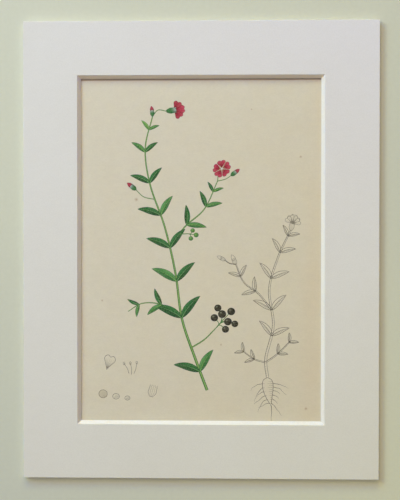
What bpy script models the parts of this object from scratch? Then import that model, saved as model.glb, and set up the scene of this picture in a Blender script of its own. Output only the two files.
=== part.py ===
"""A window-mounted print, lying face up.

A bevel-cut window board lies over a printed sheet and a thin backing card of
the same outline.  The sheet hangs from the underside of the window board by
two strips of gummed paper tape across its top edge.  The card is bonded to
the board by a strip of double-sided foam tape along each side, which leaves
the sheet room to hang a little below the board.

Metres, +Z up through the thickness, +Y towards the top of the picture.
The origin is the middle of the backing card's underside.
"""
import bpy
import bmesh
from math import tan, radians
from mathutils import Vector

# ---- driving dimensions, metres -------------------------------------------
BOARD_W = 0.2170            # window board and backing card, across
BOARD_H = 0.2794            # window board and backing card, top to bottom
BOARD_T = 0.0021            # six-ply window board
CARD_T = 0.00040            # backing card
BORDER = 0.0330             # edge of the board to the aperture, on the face
BEVEL_DEG = 45.0            # slope of the aperture's cut edge
GAP = 0.00065               # card to board, for the sheet and the tapes

SHEET_W = 0.1650            # printed leaf, larger than the aperture
SHEET_H = 0.2380
SHEET_T = 0.00016
SHEET_Y = -0.0040           # the leaf sits a little low, to clear its hinges
SHEET_DROP = 0.00030        # how far it hangs below the board
SKIN = 0.00005              # clearance at a stuck or resting face

HINGE_W = 0.0380            # gummed paper hinge across the leaf's top edge
HINGE_BELOW = 0.0100        # how far it reaches down the leaf's back
HINGE_ABOVE = 0.0085        # how far it goes up the board's underside
HINGE_T = 0.00007
HINGE_X = 0.0520            # the hinges, either side of the middle

BOND_W = 0.0120             # double-sided foam tape between card and board
BOND_T = GAP - 2 * SKIN
BOND_INSET = 0.0030         # outer edge of the boards to the tape
BOND_BREAK = 0.0010         # between the ends of neighbouring tapes

# ---- levels that follow ----------------------------------------------------
Z_CARD = CARD_T
Z_WINDOW = CARD_T + GAP
Z_FACE = Z_WINDOW + BOARD_T
SHEET_TOP = SHEET_Y + SHEET_H / 2


def clear_scene():
    for ob in list(bpy.data.objects):
        bpy.data.objects.remove(ob, do_unlink=True)


def collection(name):
    col = bpy.data.collections.get(name) or bpy.data.collections.new(name)
    if name not in bpy.context.scene.collection.children:
        bpy.context.scene.collection.children.link(col)
    return col


def material(name, colour, roughness):
    mat = bpy.data.materials.new(name)
    mat.use_nodes = True
    bsdf = mat.node_tree.nodes["Principled BSDF"]
    bsdf.inputs["Base Color"].default_value = (*colour, 1.0)
    bsdf.inputs["Roughness"].default_value = roughness
    bsdf.inputs["Metallic"].default_value = 0.0
    return mat


def move_to(ob, col):
    for c in list(ob.users_collection):
        c.objects.unlink(ob)
    col.objects.link(ob)


def slab(name, size, low_z, x, y, mat, col, parent):
    """A flat rectangular piece, its underside at low_z."""
    bpy.ops.mesh.primitive_cube_add(size=1.0)
    ob = bpy.context.active_object
    ob.name = name
    ob.data.name = name
    ob.scale = size
    bpy.ops.object.transform_apply(location=False, rotation=False, scale=True)
    ob.location = (x, y, low_z + size[2] / 2)
    ob.data.materials.append(mat)
    move_to(ob, col)
    ob.parent = parent
    return ob


def aperture_cutter(col, parent):
    """A frustum whose sides slope at the bevel angle, wider at the face.

    It stands out past both faces of the board, on the same slope, so that
    the cut leaves one plane on each side of the aperture.
    """
    past = 0.001
    slope = 1.0 / tan(radians(BEVEL_DEG))
    face_hw = BOARD_W / 2 - BORDER
    face_hh = BOARD_H / 2 - BORDER
    z_low, z_high = Z_WINDOW - past, Z_FACE + past
    mesh = bpy.data.meshes.new("aperture_cutter")
    bm = bmesh.new()
    bmesh.ops.create_cube(bm, size=2.0)
    for v in bm.verts:
        z = z_high if v.co.z > 0 else z_low
        inward = (Z_FACE - z) * slope
        v.co = Vector((v.co.x * (face_hw - inward),
                       v.co.y * (face_hh - inward), z))
    bm.normal_update()
    bm.to_mesh(mesh)
    bm.free()
    cutter = bpy.data.objects.new("aperture_cutter", mesh)
    cutter.hide_render = True
    cutter.display_type = 'WIRE'
    col.objects.link(cutter)
    cutter.parent = parent
    return cutter


def main():
    clear_scene()
    parts = collection("mounted_print")
    cutters = collection("cutters")

    board_white = material("board_white", (0.74, 0.73, 0.71), 0.88)
    card_white = material("card_white", (0.70, 0.68, 0.62), 0.90)
    leaf_paper = material("leaf_paper", (0.62, 0.56, 0.43), 0.85)
    gummed = material("gummed_paper", (0.72, 0.68, 0.58), 0.90)
    bonding = material("double_sided_tape", (0.78, 0.77, 0.72), 0.60)

    mount = bpy.data.objects.new("mount", None)
    parts.objects.link(mount)

    slab("backing_card", (BOARD_W, BOARD_H, CARD_T), 0.0, 0.0, 0.0,
         card_white, parts, mount)
    window = slab("window_mat", (BOARD_W, BOARD_H, BOARD_T), Z_WINDOW,
                  0.0, 0.0, board_white, parts, mount)
    cut = window.modifiers.new("aperture", 'BOOLEAN')
    cut.operation = 'DIFFERENCE'
    cut.solver = 'EXACT'
    cut.object = aperture_cutter(cutters, mount)

    sheet_z = Z_WINDOW - SHEET_DROP - SHEET_T
    slab("print_sheet", (SHEET_W, SHEET_H, SHEET_T), sheet_z,
         0.0, SHEET_Y, leaf_paper, parts, mount)
    hinge_len = HINGE_BELOW + HINGE_ABOVE
    hinge_y = SHEET_TOP - HINGE_BELOW + hinge_len / 2
    hinge_z = sheet_z - 0.8 * SKIN - HINGE_T
    for side, x in (("left", -HINGE_X), ("right", HINGE_X)):
        slab("hinge_tape_" + side, (HINGE_W, hinge_len, HINGE_T), hinge_z,
             x, hinge_y, gummed, parts, mount)

    # the bonding tapes: full length at top and bottom, between them at the sides
    across = BOARD_W - 2 * BOND_INSET
    along = BOARD_H - 2 * (BOND_INSET + BOND_W + BOND_BREAK)
    end_y = BOARD_H / 2 - BOND_INSET - BOND_W / 2
    side_x = BOARD_W / 2 - BOND_INSET - BOND_W / 2
    bond_z = Z_CARD + SKIN
    for name, y in (("top", end_y), ("bottom", -end_y)):
        slab("bond_tape_" + name, (across, BOND_W, BOND_T), bond_z,
             0.0, y, bonding, parts, mount)
    for name, x in (("left", -side_x), ("right", side_x)):
        slab("bond_tape_" + name, (BOND_W, along, BOND_T), bond_z,
             x, 0.0, bonding, parts, mount)


main()
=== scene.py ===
"""Looks for a window-mounted botanical print, lying face up on a plain pale surface."""
import math
import random

import bpy
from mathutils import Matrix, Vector
from mathutils.geometry import delaunay_2d_cdt


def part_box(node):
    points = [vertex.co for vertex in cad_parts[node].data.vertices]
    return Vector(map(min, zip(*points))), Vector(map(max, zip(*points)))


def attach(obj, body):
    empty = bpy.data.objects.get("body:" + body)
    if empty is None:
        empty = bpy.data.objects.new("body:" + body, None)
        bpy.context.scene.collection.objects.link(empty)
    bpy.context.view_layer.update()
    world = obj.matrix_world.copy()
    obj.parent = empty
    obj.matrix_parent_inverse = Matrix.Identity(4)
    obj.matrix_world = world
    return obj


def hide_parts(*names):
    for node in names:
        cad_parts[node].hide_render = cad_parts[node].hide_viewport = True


MM = 0.001

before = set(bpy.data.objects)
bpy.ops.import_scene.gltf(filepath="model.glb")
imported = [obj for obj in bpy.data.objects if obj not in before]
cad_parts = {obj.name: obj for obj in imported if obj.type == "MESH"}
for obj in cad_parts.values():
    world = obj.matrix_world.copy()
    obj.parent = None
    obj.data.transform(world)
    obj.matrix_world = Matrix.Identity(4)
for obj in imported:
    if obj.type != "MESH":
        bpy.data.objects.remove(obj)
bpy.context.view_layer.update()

win_lo, win_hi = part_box("window_mat")
card_lo, card_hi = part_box("backing_card")
leaf_lo, leaf_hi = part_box("print_sheet")

BOARD_W = win_hi.x - win_lo.x
BOARD_H = win_hi.y - win_lo.y
BOARD_T = win_hi.z - win_lo.z
BORDER = 33.0 * MM
FOOT_X = BOARD_W / 2 - BORDER - BOARD_T      # half the aperture, where the bevel ends
FOOT_Y = BOARD_H / 2 - BORDER - BOARD_T


# --------------------------------------------------------------------------
# camera, light and floor
# --------------------------------------------------------------------------
scene = bpy.context.scene
scene.view_settings.view_transform = 'Standard'
scene.view_settings.look = 'None'

cam_data = bpy.data.cameras.new("camera")
cam_data.sensor_fit = 'VERTICAL'
cam_data.sensor_height = 36.0
cam_data.lens = 60.0
cam_data.clip_start = 0.01
camera = bpy.data.objects.new("camera", cam_data)
camera.location = (0.01126, 0.00537, 0.51106)
camera.rotation_euler = [math.radians(a) for a in (-0.596, 1.310, 0.035)]
scene.collection.objects.link(camera)
scene.camera = camera


def softbox(name, turn, lift, watts, aim=(0.0, 0.0, 0.0)):
    """A gridded disk two metres off: turn clockwise from the picture's top, lift above the floor.

    watts: red, green and blue power, so that the lamps' colours mix on the paper.
    """
    a, e = math.radians(turn), math.radians(lift)
    where = Vector((math.sin(a) * math.cos(e), math.cos(a) * math.cos(e), math.sin(e))) * 2.0
    data = bpy.data.lights.new(name, 'AREA')
    data.shape = 'DISK'
    data.size = 0.6
    data.spread = math.radians(100.0)
    data.energy = max(watts)
    data.color = [w / max(watts) for w in watts]
    ob = bpy.data.objects.new(name, data)
    ob.location = where
    ob.rotation_euler = (Vector(aim) - where).to_track_quat('-Z', 'Y').to_euler()
    ob.visible_camera = False
    scene.collection.objects.link(ob)
    return ob


# low daylight from the top and the left, which rakes across the aperture's edges; three
# cooler lamps are aimed past the upper left corner, so that their light falls away
UPPER_LEFT = (-0.35, 0.45, 0.0)
softbox("overhead", 0, 80, (2.76, 2.40, 1.92))
softbox("left", -60, 34, (4.28, 3.85, 1.59))
softbox("high_left", -60, 62, (1.77, 1.58, 1.54))
softbox("low_top", 0, 25, (4.51, 3.93, 0.19))
softbox("cool_corner", -30, 25, (0.0, 2.10, 5.27), UPPER_LEFT)
softbox("cool_left", -60, 25, (0.88, 1.71, 2.80), UPPER_LEFT)
softbox("cool_top", 0, 42, (0.38, 0.0, 2.20), UPPER_LEFT)

# a dim room, paler towards the horizon
world = bpy.data.worlds.new("room")
scene.world = world
world.use_nodes = True
room = world.node_tree
facing = room.nodes.new('ShaderNodeTexCoord')
parts = room.nodes.new('ShaderNodeSeparateXYZ')
shade = room.nodes.new('ShaderNodeValToRGB')
room.links.new(facing.outputs['Generated'], parts.inputs[0])
room.links.new(parts.outputs[2], shade.inputs[0])
room.links.new(shade.outputs[0], room.nodes["Background"].inputs["Color"])
levels = shade.color_ramp.elements
while len(levels) < 5:
    levels.new(0.5)
for e, (height, grey) in zip(levels, ((0.0, 0.47), (0.06, 0.42), (0.17, 0.20), (0.35, 0.050), (1.0, 0.040))):
    e.position = height
    e.color = (grey, grey * 0.985, grey * 0.88, 1.0)
room.nodes["Background"].inputs["Strength"].default_value = 1.0


# --------------------------------------------------------------------------
# small helpers
# --------------------------------------------------------------------------
class Mat:
    """A material with a Principled shader and short names for its nodes."""

    def __init__(self, name, roughness=0.9, specular=0.25, **plain):
        self.m = bpy.data.materials.new(name)
        self.m.use_nodes = True
        self.nt = self.m.node_tree
        self.p = self.nt.nodes["Principled BSDF"]
        self.p.inputs["Roughness"].default_value = roughness
        self.p.inputs["Specular IOR Level"].default_value = specular
        for key, value in plain.items():
            self.p.inputs[key.replace("_", " ")].default_value = value

    def node(self, kind, **settings):
        n = self.nt.nodes.new(kind)
        for key, value in settings.items():
            setattr(n, key, value)
        return n

    def link(self, a, b):
        self.nt.links.new(a, b)

    def place(self, scale=(1, 1, 1), source='Object'):
        """Coordinates of the piece in metres, stretched by scale."""
        t = self.node('ShaderNodeTexCoord')
        mp = self.node('ShaderNodeMapping')
        mp.inputs['Scale'].default_value = scale
        self.link(t.outputs[source], mp.inputs['Vector'])
        return mp.outputs[0]

    def noise(self, where, scale, detail=2.0, rough=0.5, distortion=0.0):
        n = self.node('ShaderNodeTexNoise')
        n.inputs['Scale'].default_value = scale
        n.inputs['Detail'].default_value = detail
        n.inputs['Roughness'].default_value = rough
        n.inputs['Distortion'].default_value = distortion
        self.link(where, n.inputs['Vector'])
        return n.outputs['Fac']

    def math(self, op, a, b=None, c=None, clamp=False):
        n = self.node('ShaderNodeMath', operation=op, use_clamp=clamp)
        for i, v in enumerate((a, b, c)):
            if v is None:
                continue
            if isinstance(v, (int, float)):
                n.inputs[i].default_value = v
            else:
                self.link(v, n.inputs[i])
        return n.outputs[0]

    def ramp(self, value, stops, mode='LINEAR'):
        """stops: (position, grey or colour)"""
        n = self.node('ShaderNodeValToRGB')
        n.color_ramp.interpolation = mode
        el = n.color_ramp.elements
        while len(el) < len(stops):
            el.new(0.5)
        for e, (pos, col) in zip(el, stops):
            e.position = pos
            e.color = (col, col, col, 1) if isinstance(col, (int, float)) else (*col, 1)
        self.link(value, n.inputs[0])
        return n.outputs[0]

    def mix(self, fac, a, b, mode='MIX'):
        n = self.node('ShaderNodeMix', data_type='RGBA', blend_type=mode)
        for sock, v in ((n.inputs[0], fac), (n.inputs[6], a), (n.inputs[7], b)):
            if isinstance(v, (int, float)):
                sock.default_value = v
            elif isinstance(v, tuple):
                sock.default_value = (*v, 1.0)
            else:
                self.link(v, sock)
        return n.outputs[2]

    def colour(self, socket):
        self.link(socket, self.p.inputs["Base Color"])

    def bump(self, height, distance, strength=1.0, under=None):
        n = self.node('ShaderNodeBump')
        n.inputs['Distance'].default_value = distance
        n.inputs['Strength'].default_value = strength
        self.link(height, n.inputs['Height'])
        if under is not None:
            self.link(under, n.inputs['Normal'])
        self.link(n.outputs[0], self.p.inputs['Normal'])
        return n.outputs[0]


def mesh_object(name, verts, faces, mats, face_mats=None, smooth=None, uvs=None):
    """verts in metres; face_mats and smooth one per face; uvs one list per face."""
    me = bpy.data.meshes.new(name)
    me.from_pydata([tuple(v) for v in verts], [], faces)
    for m in mats:
        me.materials.append(m)
    if face_mats is not None:
        me.polygons.foreach_set("material_index", face_mats)
    if smooth is not None:
        me.polygons.foreach_set("use_smooth", smooth)
    if uvs is not None:
        layer = me.uv_layers.new(name="OFBake")
        flat = [c for face in uvs for uv in face for c in uv]
        layer.data.foreach_set("uv", flat)
    me.validate(clean_customdata=False)
    me.update()
    ob = bpy.data.objects.new(name, me)
    scene.collection.objects.link(ob)
    return ob


def smoothstep(a, b, x):
    t = min(max((x - a) / (b - a), 0.0), 1.0)
    return t * t * (3 - 2 * t)


# --------------------------------------------------------------------------
# floor
# --------------------------------------------------------------------------
def make_floor():
    m = Mat("pale_surface", roughness=0.75, specular=0.2)
    at = m.place()
    wide = m.noise(at, 3.0, 3.0)
    fine = m.noise(at, 420.0, 3.0)
    c = m.mix(m.ramp(wide, [(0.3, 0.0), (0.7, 1.0)]), (0.707, 0.724, 0.556), (0.729, 0.742, 0.571))
    # painted light and shade: the surface is made slightly deeper at the lower left and yellower at the
    # lower right
    xyz = m.node('ShaderNodeSeparateXYZ')
    m.link(at, xyz.inputs[0])
    low = m.math('MAXIMUM', m.math('SUBTRACT', 0.03, xyz.outputs[1]), 0.0)
    k = m.math('ADD', m.math('MULTIPLY', m.math('MULTIPLY', low, xyz.outputs[0]), 22.0), 0.5)
    c = m.mix(1.0, c, m.ramp(k, [(0.0, (0.855, 0.876, 1.0)), (0.5, (0.909, 0.917, 1.0)),
                                 (1.0, (1.0, 1.0, 1.0))]), 'MULTIPLY')
    c = m.mix(0.05, c, m.ramp(fine, [(0.35, 0.55), (0.65, 1.0)]), 'MULTIPLY')
    m.colour(c)
    m.bump(fine, 0.00002, 0.6)
    # far from the object, beyond the lamps' reach, the surface glows with painted light, so that it stays
    # pale up to the horizon
    far = m.node('ShaderNodeVectorMath', operation='LENGTH')
    m.link(at, far.inputs[0])
    out = m.math('MULTIPLY', m.math('SUBTRACT', far.outputs['Value'], 0.40), 1.0 / 2.60)
    m.link(m.ramp(out, [(0.0, (0.0, 0.0, 0.0)), (0.15, (0.055, 0.050, 0.035)), (0.35, (0.24, 0.23, 0.18)),
                        (0.65, (0.42, 0.41, 0.35)), (1.0, (0.48, 0.475, 0.41))]),
           m.p.inputs["Emission Color"])
    m.p.inputs["Emission Strength"].default_value = 1.0
    s = 6.0
    ob = mesh_object("floor", [(-s, -s, 0), (s, -s, 0), (s, s, 0), (-s, s, 0)],
                     [(0, 1, 2, 3)], [m.m])


make_floor()


# --------------------------------------------------------------------------
# boards
# --------------------------------------------------------------------------
def facing_material(name, warm, cool, grain=1.0, painted_falloff=False):
    """Matt facing paper of a mount board: a faint vellum grain, slight mottling.

    The last flag paints light and shade into the colour: warmer and less blue towards the lower right
    corner, a little darker at the left.
    """
    m = Mat(name, roughness=0.92, specular=0.18)
    at = m.place()
    cloud = m.noise(at, 16.0, 3.0, 0.55)
    c = m.mix(m.ramp(cloud, [(0.3, 0.0), (0.7, 1.0)]), warm, cool)
    fibre = m.noise(at, 1500.0, 3.0, 0.6)
    c = m.mix(0.10 * grain, c, m.ramp(fibre, [(0.3, 0.45), (0.7, 1.0)]), 'MULTIPLY')
    pulp = m.noise(m.place((0.55, 1.0, 1.0)), 250.0, 2.0, 0.5)
    c = m.mix(0.030 * grain, c, m.ramp(pulp, [(0.3, 0.6), (0.7, 1.0)]), 'MULTIPLY')
    # painted light and shade: warmer and less blue towards the lower right corner, a little darker at the
    # left
    if painted_falloff:
        xyz = m.node('ShaderNodeSeparateXYZ')
        m.link(at, xyz.inputs[0])
        slope = m.math('ADD', m.math('MULTIPLY', xyz.outputs[0], 0.425), 0.068)
        k = m.math('MULTIPLY', m.math('MULTIPLY', xyz.outputs[1], 8.0), slope)
        c = m.mix(1.0, c, m.ramp(m.math('ADD', m.math('MULTIPLY', k, 4.1667), 0.5),
                                 [(0.0, (1.0, 1.0, 0.85)), (1.0, (1.0, 1.0, 1.0))]), 'MULTIPLY')
        c = m.mix(1.0, c, m.ramp(m.math('ADD', m.math('MULTIPLY', xyz.outputs[0], 4.0), 0.5),
                                 [(0.0, 0.955), (1.0, 1.0)]), 'MULTIPLY')
    m.colour(c)
    felt = m.noise(m.place((1.0, 1.5, 1.0)), 520.0, 4.0, 0.66)
    m.bump(m.math('ADD', m.math('MULTIPLY', felt, 0.7), m.math('MULTIPLY', fibre, 0.3)),
           0.00010 * grain, 0.60)
    return m.m


def core_material(name, colour, shade):
    """The cut edge of the board: a white fibrous core with faint plies along it."""
    m = Mat(name, roughness=0.95, specular=0.12)
    t = m.node('ShaderNodeTexCoord')
    xyz = m.node('ShaderNodeSeparateXYZ')
    m.link(t.outputs['Object'], xyz.inputs[0])
    wobble = m.noise(m.place((60, 60, 60)), 1.0, 2.0)
    ply = m.math('ADD', m.math('MULTIPLY', m.math('SUBTRACT', xyz.outputs[2], win_lo.z), 1.0 / 0.0004),
                 m.math('MULTIPLY', wobble, 0.35))
    ply = m.math('ABSOLUTE', m.math('SUBTRACT', m.math('FRACT', ply), 0.5))
    line = m.ramp(ply, [(0.0, 0.0), (0.08, 1.0)])
    fuzz = m.noise(m.place((1, 1, 4)), 900.0, 3.0, 0.7)
    c = m.mix(m.ramp(fuzz, [(0.3, 0.0), (0.7, 1.0)]), shade, colour)
    c = m.mix(m.math('MULTIPLY', m.math('SUBTRACT', 1.0, line), 0.25), c, shade)
    # painted shade: the top bevel, turned away from the lamps, is made darker and warmer, and a painted
    # shadow darkens its foot
    past_x = m.math('SUBTRACT', m.math('ABSOLUTE', xyz.outputs[0]), FOOT_X)
    past_y = m.math('SUBTRACT', xyz.outputs[1], FOOT_Y)
    top = m.math('GREATER_THAN', m.math('ADD', past_y, 0.0001), m.math('MAXIMUM', past_x, 0.0))
    c = m.mix(m.math('MULTIPLY', top, 0.8), c, (0.875, 0.775, 0.685))
    # painted shadow along the foot of the top bevel
    foot = m.math('SUBTRACT', FOOT_Y + 0.0005, xyz.outputs[1])
    painted_foot_shade = m.ramp(m.math('ADD', m.math('MULTIPLY', foot, 1800.0), 0.1), [(0.0, 0.0), (1.0, 1.0)], 'EASE')
    painted_foot_shade = m.math('MULTIPLY', painted_foot_shade, top)
    c = m.mix(m.math('MULTIPLY', painted_foot_shade, 0.85), c, (0.38, 0.30, 0.25))
    m.colour(c)
    m.bump(fuzz, 0.00008, 0.5)
    return m.m


FACE = facing_material("mat_face", (0.807, 0.799, 0.838), (0.823, 0.820, 0.871), painted_falloff=True)
CORE = core_material("board_core", (0.838, 0.820, 0.800), (0.764, 0.740, 0.712))
BACK = facing_material("board_back_paper", (0.735, 0.720, 0.685), (0.755, 0.745, 0.715), 0.8)


def ring(name, profile, mats, across, along, hole=True):
    """A board cut to a rectangle: the profile is swept round it with mitred corners.

    profile: (inset from the outer edge, height, material) in metres, in order
    round the section.  With no hole, the first and last points close as flat
    faces over the whole rectangle.
    """
    hw, hh = BOARD_W / 2, BOARD_H / 2
    rows = []
    for d, z, _ in profile:
        x, y = hw - d, hh - d
        loop = []
        corners = [(-x, -y), (x, -y), (x, y), (-x, y)]
        counts = (across, along, across, along)
        for k in range(4):
            a, b = corners[k], corners[(k + 1) % 4]
            for i in range(counts[k]):
                t = i / counts[k]
                loop.append((a[0] + (b[0] - a[0]) * t, a[1] + (b[1] - a[1]) * t, z))
        rows.append(loop)
    n = len(rows[0])
    verts = [v for loop in rows for v in loop]
    faces, fm, sm = [], [], []
    count = len(profile)
    last = count if hole else count - 1
    for r in range(last):
        r2 = (r + 1) % count
        for i in range(n):
            j = (i + 1) % n
            faces.append((r * n + i, r * n + j, r2 * n + j, r2 * n + i))
            fm.append(profile[r][2])
            sm.append(False)
    if not hole:                       # the two flat faces, each a grid
        for r, flip in ((0, True), (count - 1, False)):
            d, z, mat = profile[r]
            x, y = hw - d, hh - d
            grid = {}
            for j in range(along + 1):
                for i in range(across + 1):
                    if j == 0:
                        grid[i, j] = r * n + i
                    elif i == across:
                        grid[i, j] = r * n + across + j
                    elif j == along:
                        grid[i, j] = r * n + across + along + (across - i)
                    elif i == 0:
                        grid[i, j] = r * n + 2 * across + along + (along - j)
                    else:
                        grid[i, j] = len(verts)
                        verts.append((-x + 2 * x * i / across, -y + 2 * y * j / along, z))
            for j in range(along):
                for i in range(across):
                    quad = (grid[i, j], grid[i + 1, j], grid[i + 1, j + 1], grid[i, j + 1])
                    faces.append(tuple(reversed(quad)) if flip else quad)
                    fm.append(mat)
                    sm.append(False)
    ob = mesh_object(name, verts, faces, mats, fm, sm)
    return ob


def window_board():
    zb, zt = win_lo.z, win_hi.z
    b = BORDER
    t = BOARD_T
    skin = 0.22 * MM                  # facing paper on both sides of the core
    r = 0.10 * MM
    P = [
        (r, zb, 1), (r * 0.29, zb + r * 0.29, 1), (0.0, zb + r, 1),
        (0.0, zb + skin, 2), (0.0, zt - skin, 0),
        (0.0, zt - r * 1.3, 0), (r * 0.38, zt - r * 0.38, 0), (r * 1.3, zt, 0),
        (b - r * 0.6, zt, 0), (b + r * 0.15, zt - r * 0.2, 0),
        (b + skin, zt - skin, 2), (b + t - skin, zb + skin, 1),
        (b + t - r * 0.3, zb + r * 0.3, 1), (b + t - r * 0.5, zb, 1),
    ]
    ob = ring("window_board", P, [FACE, BACK, CORE], 44, 56)
    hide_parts("window_mat")
    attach(ob, "root")
    return ob


def card_material():
    """Thin machine-made card: greyer than the mount board, with stray fibres and flecks."""
    m = Mat("card_stock", roughness=0.90, specular=0.18)
    at = m.place()
    cloud = m.noise(at, 24.0, 3.0, 0.55)
    c = m.mix(m.ramp(cloud, [(0.3, 0.0), (0.7, 1.0)]), (0.690, 0.668, 0.605), (0.722, 0.703, 0.645))
    long_fibre = m.noise(m.place((1.0, 6.0, 1.0)), 520.0, 3.0, 0.6, 0.5)
    c = m.mix(m.ramp(long_fibre, [(0.60, 0.0), (0.74, 0.35)]), c, (0.80, 0.785, 0.74))
    fleck = m.noise(at, 900.0, 2.0, 0.5)
    c = m.mix(m.ramp(fleck, [(0.70, 0.0), (0.76, 0.45)]), c, (0.47, 0.42, 0.33))
    m.colour(c)
    felt = m.noise(at, 700.0, 4.0, 0.6)
    m.bump(m.math('ADD', m.math('MULTIPLY', felt, 0.6), m.math('MULTIPLY', long_fibre, 0.4)),
           0.00005, 0.5)
    return m.m


def backing():
    """The card: guillotined, so its upper edge is faintly turned over and its lower one crisp."""
    zb, zt = card_lo.z, card_hi.z
    r = 0.06 * MM
    P = [
        (r, zb, 0), (r * 0.29, zb + r * 0.29, 0), (0.0, zb + r, 0),
        (0.0, zb + 0.45 * (zt - zb), 0), (0.02 * MM, zt - r * 1.8, 0),
        (0.02 * MM + r * 0.4, zt - r * 0.5, 0), (r * 1.9, zt, 0),
    ]
    ob = ring("backing_card_sheet", P, [card_material()], 44, 56, hole=False)
    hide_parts("backing_card")
    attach(ob, "root")
    return ob


# --------------------------------------------------------------------------
# the printed plate: inks laid in painter's order, in millimetres from the
# middle of the aperture, +x right and +y up
# --------------------------------------------------------------------------
def tint(r, g, b, k=0.90):
    """The reflectance that shows as this screen colour in the plate's light."""
    def lin(c):
        c /= 255.0
        return c / 12.92 if c <= 0.04045 else ((c + 0.055) / 1.055) ** 2.4
    return tuple(min(lin(c) / k, 0.95) for c in (r, g, b))


def blend2(a, b, t):
    t = min(max(t, 0.0), 1.0)
    return tuple(x + (y - x) * t for x, y in zip(a, b))


def spline(ctrl, step=1.2, closed=False):
    """Points about step apart on a Catmull-Rom curve through ctrl."""
    n = len(ctrl)
    out = []
    spans = n if closed else n - 1
    for i in range(spans):
        if closed:
            p0, p1, p2, p3 = (ctrl[(i + k) % n] for k in (-1, 0, 1, 2))
        else:
            p1, p2 = ctrl[i], ctrl[i + 1]
            p0 = ctrl[i - 1] if i else (2 * p1[0] - p2[0], 2 * p1[1] - p2[1])
            p3 = ctrl[i + 2] if i + 2 < n else (2 * p2[0] - p1[0], 2 * p2[1] - p1[1])
        k = max(2, int(math.ceil(math.dist(p1, p2) / step)))
        for j in range(k):
            t = j / k
            out.append(tuple(
                0.5 * (2 * b + (c - a) * t + (2 * a - 5 * b + 4 * c - d) * t * t
                       + (3 * b - a - 3 * c + d) * t ** 3)
                for a, b, c, d in zip(p0, p1, p2, p3)))
    if not closed:
        out.append(tuple(ctrl[-1]))
    return out


def heading(line, i):
    a, b = line[max(i - 1, 0)], line[min(i + 1, len(line) - 1)]
    return math.atan2(b[1] - a[1], b[0] - a[0])


def at_length(line, share):
    """Point and heading at a share of the line's length."""
    lens = [0.0]
    for a, b in zip(line, line[1:]):
        lens.append(lens[-1] + math.dist(a, b))
    want = share * lens[-1]
    for i in range(1, len(line)):
        if lens[i] >= want:
            t = (want - lens[i - 1]) / max(lens[i] - lens[i - 1], 1e-9)
            a, b = line[i - 1], line[i]
            return (a[0] + (b[0] - a[0]) * t, a[1] + (b[1] - a[1]) * t), heading(line, i)
    return line[-1], heading(line, len(line) - 1)


def step_from(p, ang, d):
    return (p[0] + math.cos(ang) * d, p[1] + math.sin(ang) * d)


class Plate:
    def __init__(self):
        self.pts, self.faces, self.inks = [], [], []

    def poly(self, outline, ink, cover=1.0):
        pts = []
        for p in outline:
            if not pts or math.dist(p, pts[-1]) > 1e-3:
                pts.append(p)
        while len(pts) > 2 and math.dist(pts[0], pts[-1]) < 1e-3:
            pts.pop()
        if len(pts) < 3:
            return
        area = sum(a[0] * b[1] - b[0] * a[1] for a, b in zip(pts, pts[1:] + pts[:1]))
        if abs(area) < 1e-4:
            return
        if area < 0:
            pts.reverse()
        base = len(self.pts)
        self.pts.extend(pts)
        self.faces.append(list(range(base, base + len(pts))))
        self.inks.append((ink, cover))

    def stroke(self, line, width, ink, cover=1.0):
        """A line of ink. width: a number, or a function of the share along it."""
        n = len(line)
        if n < 2:
            return
        base = len(self.pts)
        for i, p in enumerate(line):
            w = width(i / (n - 1)) if callable(width) else width
            h = max(w, 0.06) / 2
            a = heading(line, i) + math.pi / 2
            self.pts.append((p[0] + math.cos(a) * h, p[1] + math.sin(a) * h))
            self.pts.append((p[0] - math.cos(a) * h, p[1] - math.sin(a) * h))
        for i in range(n - 1):
            l0, r0, l1, r1 = base + 2 * i, base + 2 * i + 1, base + 2 * i + 2, base + 2 * i + 3
            quad = [l0, r0, r1, l1]
            q = [self.pts[k] for k in quad]
            area = sum(a[0] * b[1] - b[0] * a[1] for a, b in zip(q, q[1:] + q[:1]))
            if abs(area) < 1e-5:
                continue
            if area < 0:
                quad.reverse()
            self.faces.append(quad)
            self.inks.append((ink, cover))


# inks
LINE = tint(92, 86, 76)
LINE_SOFT = tint(118, 111, 99)
DARK_GREEN = tint(16, 62, 30)
DEEP = tint(30, 92, 46)
GREEN = tint(52, 124, 62)
LEAF_LIGHT = tint(104, 160, 92)
STEM = tint(132, 172, 92)
STEM_SHADE = tint(62, 118, 56)
YOUNG = tint(126, 178, 84)
CRIMSON = tint(178, 34, 66)
CRIMSON_DARK = tint(112, 12, 34)
PINK = tint(206, 92, 120)
PALE = tint(196, 204, 206)
BLACKISH = tint(34, 33, 24)
HUSK = tint(66, 62, 46)
SEED = tint(118, 122, 100)
OCHRE = tint(196, 170, 96)

KINDS = {
    # fill near the rib, fill at the edge, shaded half, outline, veins
    'deep': (DEEP, GREEN, DARK_GREEN, DARK_GREEN, LEAF_LIGHT),
    'mid': (GREEN, LEAF_LIGHT, DEEP, DARK_GREEN, YOUNG),
    'young': (YOUNG, STEM, GREEN, STEM_SHADE, STEM_SHADE),
}


def leaf_shape(base, ang, length, width, bend, peak=0.80, n=12):
    rib, p = [base], base
    for i in range(n):
        a = ang + bend * ((i + 0.5) / n - 0.3)
        p = step_from(p, a, length / n)
        rib.append(p)
    left, right = [], []
    for i, p in enumerate(rib):
        t = i / n
        h = width / 2 * math.sin(math.pi * t ** peak) ** 0.85 if 0 < t < 1 else 0.0
        a = heading(rib, i) + math.pi / 2
        left.append((p[0] + math.cos(a) * h, p[1] + math.sin(a) * h))
        right.append((p[0] - math.cos(a) * h, p[1] - math.sin(a) * h))
    return rib, left, right


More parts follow.
